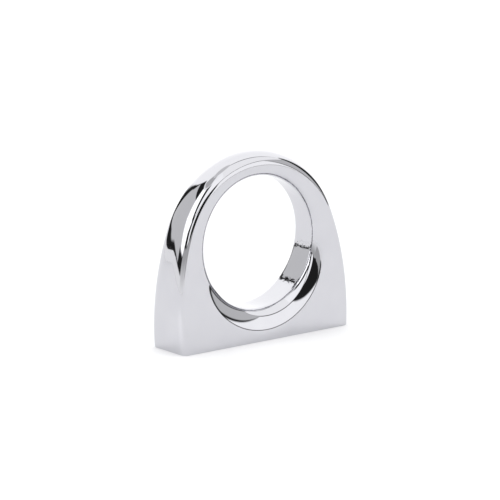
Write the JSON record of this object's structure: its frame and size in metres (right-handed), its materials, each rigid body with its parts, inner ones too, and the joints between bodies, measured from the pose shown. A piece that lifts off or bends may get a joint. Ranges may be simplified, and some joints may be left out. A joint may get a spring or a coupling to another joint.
{
  "type": "ring knob",
  "caption": "Cast ring knob for a drawer or cabinet door: an arch with a flared finger hole on a solid flat foot, bright chrome, screwed on from behind.",
  "frame": {"origin": "middle of the flat base, on the door's surface", "axes": "+Z away from the door, X along the foot, Y along the finger hole, with the pictured front towards -Y"},
  "size_m": [0.0492, 0.0126, 0.0445],
  "materials": {
    "bright_chrome": "polished casting with bright chrome plating"
  },
  "bodies": {
    "root": {"ring_knob_body": "bright_chrome"}
  },
  "joints": []
}
